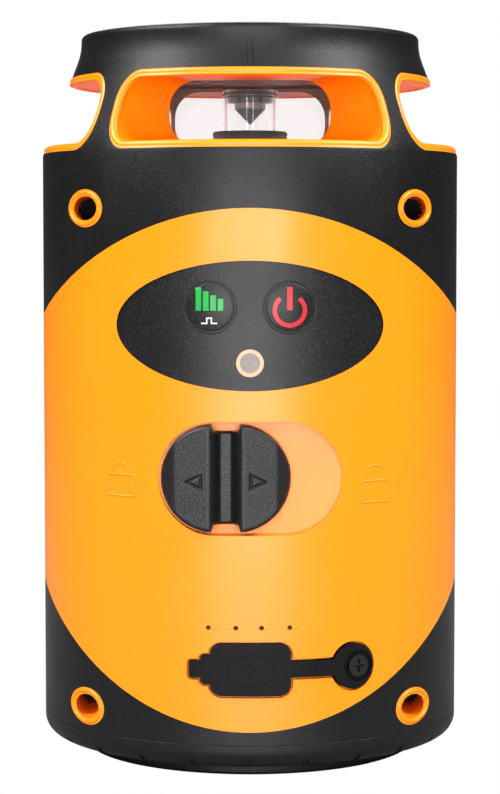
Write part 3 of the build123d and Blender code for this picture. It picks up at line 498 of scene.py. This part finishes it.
# %% Bore rims
CLAMP_X = 39.2
CLAMP_ZS = (134.7, 15.2)
RIM_HALF_X, RIM_HALF_Z, RIM_SUNK, RIM_BEAD = 3.62, 3.78, 0.42, 0.72
rims = [(ellipse(side * CLAMP_X, z, RIM_HALF_X, RIM_HALF_Z, BODY_R - RIM_SUNK), True)
        for side in (-1, 1) for z in CLAMP_ZS]
bead("clamp_bore_rims", rims, RIM_BEAD, orange_abs, "housing")


# %% Padlock signs
SIGN_SKIN = BODY_R - 0.05
SIGN_BEAD = 0.24


def along(corners, closed, step=0.5):
    """Points every half millimetre along straight sides, laid on the housing."""
    ends = corners[1:] + corners[:1] if closed else corners[1:]
    points = []
    for (x0, z0), (x1, z1) in zip(corners, ends):
        count = max(1, round(math.hypot(x1 - x0, z1 - z0) / step))
        points += [(x0 + (x1 - x0) * i / count, z0 + (z1 - z0) * i / count) for i in range(count)]
    if not closed:
        points.append(corners[-1])
    return [on_front(x, z, SIGN_SKIN) for x, z in points]


def padlock(x, z, lift):
    """Outline paths of a padlock: its body, and a shackle that stands higher and open when lift is not zero."""
    half_x, half_z, reach = 3.2, 2.5, 2.1
    body = [(x - half_x, z - half_z), (x + half_x, z - half_z), (x + half_x, z + half_z), (x - half_x, z + half_z)]
    foot, arch = z + half_z, z + half_z + 1.2 + lift
    bow = [(x + reach * math.cos(a), arch + 1.5 * math.sin(a)) for a in (math.pi * i / 8 for i in range(9))]
    shackle = [(x + reach, foot)] + bow + [(x - reach, foot if not lift else arch - 0.4)]
    return [(along(body, True), True), (along(shackle, False), False)]


signs = padlock(-30.4, 69.5, 0.0) + padlock(29.4, 68.1, 1.0)
bead("padlock_signs", signs, SIGN_BEAD, orange_abs, "housing")

# %% [markdown]
# ## Key domes and their symbols
#
# Both keys are gently domed and each carries printed symbols: falling bars and a pulse on the mode key, and a
# broken ring with a bar on the power key. The ink lies a few hundredths of a millimetre proud of the dome.

# %% Key domes
KEY_R = 6.0
DOME_RISE = 0.65
DOME_EDGE = 0.75


def dome_skin(x, z, centre_x):
    """Depth y of a key's domed face at a point, in millimetres."""
    reach = min(KEY_R, math.hypot(x - centre_x, z - KEY_Z))
    rise = 0.06 + DOME_RISE * (1 - (reach / KEY_R) ** 2)
    edge = max(0.0, reach - (KEY_R - DOME_EDGE))
    drop = DOME_EDGE - math.sqrt(max(0.0, DOME_EDGE ** 2 - edge ** 2))
    return -math.sqrt(KEY_FACE_R ** 2 - x ** 2) - rise + drop


def key_dome(name, centre_x, body):
    """A closed lens-shaped cap over the key's face, whose back is sunk in the key."""
    mesh = bmesh.new()
    spokes = 64
    rings = [0.8, 1.8, 2.8, 3.7, 4.5, 5.0, 5.25, 5.45, 5.6, 5.72, 5.82, 5.9, 5.96, 6.0]
    rows = []
    for reach in rings:
        row = []
        for i in range(spokes):
            angle = 2 * math.pi * i / spokes
            x, z = centre_x + reach * math.cos(angle), KEY_Z + reach * math.sin(angle)
            row.append(mesh.verts.new((x * MM, dome_skin(x, z, centre_x) * MM, z * MM)))
        rows.append(row)
    back = [mesh.verts.new((v.co.x, v.co.y + 1.0 * MM, v.co.z)) for v in rows[-1]]
    rows.append(back)
    top = mesh.verts.new((centre_x * MM, dome_skin(centre_x, KEY_Z, centre_x) * MM, KEY_Z * MM))
    for i in range(spokes):
        after = (i + 1) % spokes
        mesh.faces.new((top, rows[0][i], rows[0][after]))
        for near, far in zip(rows, rows[1:]):
            mesh.faces.new((near[i], far[i], far[after], near[after]))
    mesh.faces.new(list(reversed(back)))
    bmesh.ops.recalc_face_normals(mesh, faces=mesh.faces)
    made = plain_object(name, mesh)
    made.data.shade_smooth()
    made.data.materials.append(keypad_plastic)
    return settle(made, body)


key_dome("mode_key_dome", MODE_X, "mode_button")
key_dome("power_key_dome", POWER_X, "power_button")


# %% Printed symbols
INK_PROUD = 0.07


def printed(name, outlines, centre_x, material, body):
    """Thin ink shapes that lie on a key's dome; outlines are polygons in x and z from the key's middle."""
    mesh = bmesh.new()
    for outline in outlines:
        front, back = [], []
        for dx, dz in outline:
            x, z = centre_x + dx, KEY_Z + dz
            y = dome_skin(x, z, centre_x)
            front.append(mesh.verts.new((x * MM, (y - INK_PROUD) * MM, z * MM)))
            back.append(mesh.verts.new((x * MM, (y + 0.2) * MM, z * MM)))
        mesh.faces.new(front)
        mesh.faces.new(list(reversed(back)))
        for i in range(len(outline)):
            after = (i + 1) % len(outline)
            mesh.faces.new((front[after], front[i], back[i], back[after]))
    bmesh.ops.recalc_face_normals(mesh, faces=mesh.faces)
    made = plain_object(name, mesh)
    made.data.materials.append(material)
    return settle(made, body)


def bar(x0, x1, z0, z1, step=0.5):
    """A rectangle cut into low pieces, so that it follows the dome."""
    count = max(1, round((z1 - z0) / step))
    levels = [z0 + (z1 - z0) * i / count for i in range(count + 1)]
    return [[(x0, low), (x1, low), (x1, high), (x0, high)] for low, high in zip(levels, levels[1:])]


def ring_pieces(radius, half_width, start, end, count=20):
    """Short quadrilaterals along an arc."""
    pieces = []
    for i in range(count):
        a, b = (math.radians(start + (end - start) * (i + step) / count) for step in (0, 1))
        inner, outer = radius - half_width, radius + half_width
        pieces.append([(inner * math.cos(a), inner * math.sin(a)), (outer * math.cos(a), outer * math.sin(a)),
                       (outer * math.cos(b), outer * math.sin(b)), (inner * math.cos(b), inner * math.sin(b))])
    return pieces


falling_bars = []
for x, top in ((-3.35, 4.6), (-1.65, 3.7), (0.05, 2.8), (1.75, 2.0)):
    falling_bars += bar(x, x + 1.28, -0.75, top)
printed("mode_key_bars", falling_bars, MODE_X, ink_green, "mode_button")
pulse = bar(-2.1, -0.95, -3.85, -3.5) + bar(-0.95, -0.62, -3.85, -2.3) + bar(-0.62, 0.12, -2.65, -2.3)
pulse += bar(0.12, 0.45, -3.85, -2.3) + bar(0.45, 1.6, -3.85, -3.5)
printed("mode_key_pulse", pulse, MODE_X, ink_white, "mode_button")
ring_sign = [[(x, z - 0.65) for x, z in piece] for piece in ring_pieces(3.5, 0.5, 129, 411, 28)]
power_sign = ring_sign + bar(-0.62, 0.62, -0.65, 4.7)
printed("power_key_sign", power_sign, POWER_X, ink_red, "power_button")

# %% [markdown]
# ## Lock slider
#
# The thumb slider is a moulded plate with two lands that rise towards a finger valley. Its edges are all rounded
# by the mould, so its height is computed as one smooth field over the outline: the section along the slide, an
# edge round all about, and an arrow sunk in each land.

# %% Lock slider
KNOB_X = (knob_low.x + knob_high.x) / 2 / MM
KNOB_BACK_Y = -46.8
KNOB_HALF = (knob_high.x - knob_low.x) / 2 / MM
KNOB_R = (knob_high.z - knob_low.z) / 2 / MM
KNOB_SECTION = [(0, 2.2), (3.0, 4.0), (11.2, 5.4), (11.9, 5.1), (13.6, 1.9), (16.7, 1.9), (18.4, 5.1), (19.1, 5.4),
                (27.3, 4.0), (30.3, 2.2)]
KNOB_EDGE = 0.9
NOTCH_HALF, NOTCH_DEPTH = 3.2, 1.6
ARROW_DEPTH = 0.55
ARROW_AWAY, ARROW_DROP = 7.6, 0.8


def section_height(u):
    """Height of the slider's section, by straight pieces between corner points."""
    for (u0, h0), (u1, h1) in zip(KNOB_SECTION, KNOB_SECTION[1:]):
        if u <= u1:
            return h0 + (h1 - h0) * max(0.0, u - u0) / (u1 - u0)
    return KNOB_SECTION[-1][1]


def soft_height(u):
    """The section with its corners softened over about a millimetre."""
    return sum(section_height(u + shift) for shift in (-0.5, -0.25, 0.0, 0.25, 0.5)) / 5


def knob_reach(u):
    """Half height of the slider's outline at a place along it, with the notch at the valley."""
    to_end = min(u, 2 * KNOB_HALF - u)
    inside = max(0.0, KNOB_R - to_end)
    reach = math.sqrt(max(0.0, KNOB_R ** 2 - inside ** 2))
    off_middle = abs(u - KNOB_HALF)
    notch = max(0.0, min(1.0, (NOTCH_HALF + 0.3 - off_middle) / 0.6))
    return reach - NOTCH_DEPTH * notch * notch * (3 - 2 * notch)


def arrow_sink(dx, dz):
    """How far the skin sinks for the outline of an arrow that points along +X."""
    sides = (-(dx + 2.0), (dx - 2.3) * 0.42 + abs(dz) * 0.91)
    away = max(sides)
    groove = max(0.0, 1.0 - abs(away + 0.3) / 0.42)
    return ARROW_DEPTH * groove * groove * (3 - 2 * groove)


def knob_mesh():
    """A grid over the outline, lifted to the height field, with a wall down to the back."""
    mesh = bmesh.new()
    columns, rows = 220, 150
    grid = []
    for i in range(columns + 1):
        along = KNOB_HALF - KNOB_HALF * math.cos(math.pi * i / columns)
        u = min(max(along, 0.03), 2 * KNOB_HALF - 0.03)
        reach = knob_reach(u)
        line = []
        for j in range(rows + 1):
            v = math.sin(math.pi * (j / rows - 0.5))
            z = v * reach
            off_end = math.hypot(max(0.0, KNOB_R - min(u, 2 * KNOB_HALF - u)), z)
            to_edge = min(KNOB_R - off_end, reach - abs(z))
            bite = max(0.0, KNOB_EDGE - to_edge)
            height = soft_height(u) - (KNOB_EDGE - math.sqrt(max(0.0, KNOB_EDGE ** 2 - bite ** 2)))
            for side in (-1, 1):
                height -= arrow_sink(side * (u - KNOB_HALF) - ARROW_AWAY, z + ARROW_DROP)
            line.append(mesh.verts.new(((KNOB_X - KNOB_HALF + u) * MM, (KNOB_BACK_Y - height) * MM,
                                        (LOCK_Z + z) * MM)))
        grid.append(line)
    for a, b in zip(grid, grid[1:]):
        for j in range(rows):
            mesh.faces.new((a[j], b[j], b[j + 1], a[j + 1]))
    rim = [line[0] for line in grid] + grid[-1][1:] + [line[-1] for line in reversed(grid[:-1])]
    rim += list(reversed(grid[0][1:-1]))
    back = [mesh.verts.new((v.co.x, KNOB_BACK_Y * MM, v.co.z)) for v in rim]
    for i in range(len(rim)):
        after = (i + 1) % len(rim)
        mesh.faces.new((rim[after], rim[i], back[i], back[after]))
    mesh.faces.new(back)
    bmesh.ops.recalc_face_normals(mesh, faces=mesh.faces)
    return mesh


knob = plain_object("lock_slider_skin", knob_mesh())
knob.data.shade_smooth()
knob.data.materials.append(knob_plastic)
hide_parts("lock_knob")
settle(knob, "lock_slider")

# %% [markdown]
# ## Seals round the keys
#
# A soft black web fills the moat between each key and the keypad, so no shell shows through the gap. Its lip
# overlaps the key's edge by about 0.16 mm, and the key slides through it when pressed.

# %% Key seals
SEAL_R, SEAL_SUNK, SEAL_BEAD = KEY_R + 0.18, 0.62, 0.34
seals = [(ellipse(x, KEY_Z, SEAL_R, SEAL_R, KEY_FACE_R - SEAL_SUNK), True) for x in (MODE_X, POWER_X)]
bead("key_seals", seals, SEAL_BEAD, keypad_plastic, "housing")

# %% [markdown]
# ## Optical head
#
# The glass tube has a narrow collar near its top and one at its rim, which catch the light as bright rings. The
# tripod insert's thread is a helix of rounded turns.

# %% Tube collars and tripod thread
tube_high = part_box("glass_tube")[1]
TUBE_R = tube_high.x / MM
TUBE_TOP = tube_high.z / MM


def ring_at(radius, z, count=48):
    """Points of a level circle about Z."""
    return [(radius * math.cos(2 * math.pi * i / count), radius * math.sin(2 * math.pi * i / count), z)
            for i in range(count)]


collars = [(ring_at(TUBE_R, TUBE_TOP - 1.4), True), (ring_at(TUBE_R - 0.2, TUBE_TOP - 0.1), True)]
bead("tube_collars", collars, 0.42, tube_glass, "pendulum")
base_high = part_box("optics_base")[1]
bead("optics_base_rim", [(ring_at(base_high.x / MM - 0.5, base_high.z / MM + 0.15), True)], 0.62, plain_black,
     "pendulum")
THREAD_R, THREAD_PITCH, THREAD_TURNS, TURN_STEPS = 6.75, 2.3, 5, 40
helix = []
for step in range(THREAD_TURNS * TURN_STEPS + 1):
    angle = 2 * math.pi * step / TURN_STEPS
    helix.append((THREAD_R * math.cos(angle), THREAD_R * math.sin(angle), 0.8 + THREAD_PITCH * step / TURN_STEPS))
bead("tripod_thread", [(helix, False)], 0.55, turned_brass, "housing")

# %% [markdown]
# ## Socket cover
#
# The charging socket's cover is one piece of soft rubber: a plate with a pull tab, a strap and a round end under a
# screw. The strap bends where the cover swings; this skin joins both rubber nodes into one mesh, with the strap
# carried across the hinge, and it rides on no body.

# %% One rubber cover across its hinge
HINGE_X = 17.6
STRAP_HALF_Z = 1.95
STRAP_INNER_R, STRAP_OUTER_R = 50.75, 52.35
STRAP_START, STRAP_LENGTH, STRAP_STEPS = HINGE_X - 2.2, 4.6, 14


def rubber_cover():
    """Both rubber nodes as one mesh, with the strap carried on across the hinge."""
    mesh = bmesh.new()
    for name in ("usb_cover", "cover_anchor"):
        mesh.from_mesh(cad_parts[name].data)
    inner, outer = STRAP_INNER_R, STRAP_OUTER_R
    corners = ((outer, STRAP_HALF_Z), (outer, -STRAP_HALF_Z), (inner, -STRAP_HALF_Z), (inner, STRAP_HALF_Z))
    sections = []
    for i in range(STRAP_STEPS + 1):
        x = STRAP_START + STRAP_LENGTH * i / STRAP_STEPS
        sections.append([mesh.verts.new((x * r / outer * MM, -math.sqrt(r ** 2 - (x * r / outer) ** 2) * MM,
                                         (COVER_Z + z) * MM)) for r, z in corners])
    for a, b in zip(sections, sections[1:]):
        for j in range(4):
            k = (j + 1) % 4
            mesh.faces.new((a[j], b[j], b[k], a[k]))
    mesh.faces.new(list(reversed(sections[0])))
    mesh.faces.new(sections[-1])
    bmesh.ops.remove_doubles(mesh, verts=mesh.verts, dist=WELD)
    bmesh.ops.recalc_face_normals(mesh, faces=mesh.faces)
    return mesh


cover = plain_object("socket_cover_rubber", rubber_cover())
cover.data.materials.append(cover_rubber)
add_smoothing(cover)
bake_modifiers(cover)
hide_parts("usb_cover", "cover_anchor")
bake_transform(cover)

# %% [markdown]
# ## Mark on the cover
#
# A lightning bolt in an oval frame stands a hair proud of the rubber, as a sign for the charging socket.

# %% Mark on the cover
MARK_R = 52.38
bolt = [(0.6, 2.0), (-1.5, -0.3), (-0.2, -0.3), (-0.7, -2.0), (1.5, 0.4), (0.2, 0.4)]
bolt_path = [on_front(x, COVER_Z + z, MARK_R) for x, z in bolt]
frame_path = ellipse(0.1, COVER_Z, 5.6, 3.6, MARK_R, 36)
bead("cover_mark", [(bolt_path, True), (frame_path, True)], 0.13, cover_rubber, "usb_cover")

# %% [markdown]
# ## Camera, floor and light
#
# The tool is seen from the front at about two thirds of its height, looking slightly down with a long lens. It
# stands on a pale sweep that rises behind it, so there is no horizon. The sweep and the world look white straight
# on and through glass, and dim to every other ray, so they don't wash out the black rubber.

# %% Camera
CAMERA_AWAY = 0.5877
CAMERA_HEIGHT = 0.1258
CAMERA_TILT = 3.725
LENS = 105.3
camera_data = bpy.data.cameras.new("camera")
camera_data.lens = LENS
camera_data.sensor_width = 36.0
camera = bpy.data.objects.new("camera", camera_data)
camera.location = (0.0, -CAMERA_AWAY, CAMERA_HEIGHT)
camera.rotation_euler = (math.radians(90 - CAMERA_TILT), 0.0, 0.0)
bpy.context.scene.collection.objects.link(camera)
bpy.context.scene.camera = camera


# %% Floor and backdrop in one sweep
def sweep_floor():
    """A pale floor that curves up into a backdrop behind the tool."""
    floor_front, floor_back, bend, height, half = -3.0, 1.2, 0.8, 3.0, 4.0
    profile = [(floor_front, 0.0), (floor_back, 0.0)]
    bend_steps = 12
    for step in range(1, bend_steps + 1):
        turn = math.radians(90 * step / bend_steps)
        profile.append((floor_back + bend * math.sin(turn), bend - bend * math.cos(turn)))
    profile.append((floor_back + bend, height))
    mesh = bmesh.new()
    rows = [[mesh.verts.new((x, y, z)) for x in (-half, half)] for y, z in profile]
    for low, high in zip(rows, rows[1:]):
        mesh.faces.new((low[0], low[1], high[1], high[0]))
    made = plain_object("floor", mesh)
    made.data.shade_smooth()
    return made


def seen_white(tree, dim, output, strength=1.0):
    """White where the camera looks straight or through glass at the set, and a dim surface for every other ray."""
    path = add_node(tree, "ShaderNodeLightPath")
    seen = add_node(tree, "ShaderNodeMath", {0: path.outputs["Is Camera Ray"],
                                             1: path.outputs["Is Transmission Ray"]}, operation="MAXIMUM")
    white = add_node(tree, "ShaderNodeEmission", {"Color": colour("#FFFFFF"), "Strength": strength})
    mixed = add_node(tree, "ShaderNodeMixShader", {0: seen.outputs["Value"], 1: dim, 2: white.outputs["Emission"]})
    tree.links.new(mixed.outputs["Shader"], output.inputs["Surface"])


floor_paint, floor_tree, floor_shader = new_material("studio_sweep", "#7C7C7C", 0.9)
seen_white(floor_tree, floor_shader.outputs["BSDF"], floor_tree.nodes["Material Output"])
floor = sweep_floor()
floor.data.materials.append(floor_paint)


# %% [markdown]
# ## White card
#
# Clear glass shows what stands behind it. A small glowing card behind the tool keeps the head's glass bright.

# %% White card behind the tool
def white_card():
    """A small glowing card behind the tool, seen through the head."""
    half, low, high, away = 0.3, 0.02, 0.6, 1.15
    mesh = bmesh.new()
    mesh.faces.new([mesh.verts.new(c) for c in ((-half, away, low), (half, away, low), (half, away, high),
                                                (-half, away, high))])
    card = plain_object("white_card", mesh)
    glow, _, shader = new_material("white_card_glow", "#000000", 1.0)
    shader.inputs["Emission Color"].default_value = colour("#FFFFFF")
    shader.inputs["Emission Strength"].default_value = 1.0
    card.data.materials.append(glow)
    return card


white_card()


# %% [markdown]
# ## Lights
#
# A low strip near the camera gives the pale band down the middle. Boxes on both sides and behind draw the top and
# the shoulders, and two small lights put a highlight on the head's rubber.

# %% Lights
def soft_light(name, place, aim, width, height, power):
    """A rectangular soft box aimed at a point."""
    data = bpy.data.lights.new(name, "AREA")
    data.shape = "RECTANGLE"
    data.size = width
    data.size_y = height
    data.energy = power
    lamp = bpy.data.objects.new(name, data)
    lamp.location = place
    lamp.rotation_euler = (Vector(aim) - Vector(place)).to_track_quat("-Z", "Y").to_euler()
    bpy.context.scene.collection.objects.link(lamp)
    return lamp


MIDDLE = (0.0, 0.0, 0.09)
soft_light("front_soft_box", (0.0, -0.9, 0.62), MIDDLE, 0.5, 0.4, 3.4)
strip = soft_light("low_front_strip", (0.0, -0.95, 0.085), (0.0, 0.0, 0.085), 0.62, 0.15, 4.9)
soft_light("left_soft_box", (-0.75, -0.25, 0.95), MIDDLE, 0.45, 0.45, 15.0)
soft_light("right_soft_box", (0.75, -0.25, 0.95), MIDDLE, 0.45, 0.45, 15.0)
soft_light("rear_soft_box", (0.0, 0.8, 0.9), MIDDLE, 0.6, 0.4, 6.0)
soft_light("left_catch_light", (-0.24, -0.95, 0.215), (0.0, 0.0, 0.16), 0.05, 0.09, 0.9)
soft_light("right_catch_light", (0.24, -0.95, 0.215), (0.0, 0.0, 0.16), 0.05, 0.09, 0.9)


# %% [markdown]
# ## Keep the strip off the glass
#
# A flat pane mirrors the low strip as solid white when it is seen from a little above, and hides the optics behind
# it. Light linking leaves the panes and the tube out of what the strip lights.

# %% Keep the strip off the glass
def keep_off(lamp, nodes):
    """The lamp doesn't light or show in these nodes, as a flag or a polariser does in a studio."""
    group = bpy.data.collections.new(lamp.name + "_flagged")
    for node in nodes:
        group.objects.link(node)
    lamp.light_linking.receiver_collection = group
    for member in group.collection_objects:
        member.light_linking.link_state = "EXCLUDE"


GLASS = ["front_pane", "right_pane", "rear_pane", "left_pane", "glass_tube"]
keep_off(strip, [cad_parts[name] for name in GLASS])

# %% [markdown]
# ## World
#
# A faint even light fills the shadows, and the picture keeps its colours as they are computed.

# %% World
WORLD_STRENGTH = 0.07
world = bpy.data.worlds.new("studio")
world.use_nodes = True
dim_world = world.node_tree.nodes["Background"]
dim_world.inputs["Color"].default_value = colour("#FFFFFF")
dim_world.inputs["Strength"].default_value = WORLD_STRENGTH
seen_white(world.node_tree, dim_world.outputs["Background"], world.node_tree.nodes["World Output"])
bpy.context.scene.world = world
bpy.context.scene.view_settings.view_transform = "Standard"
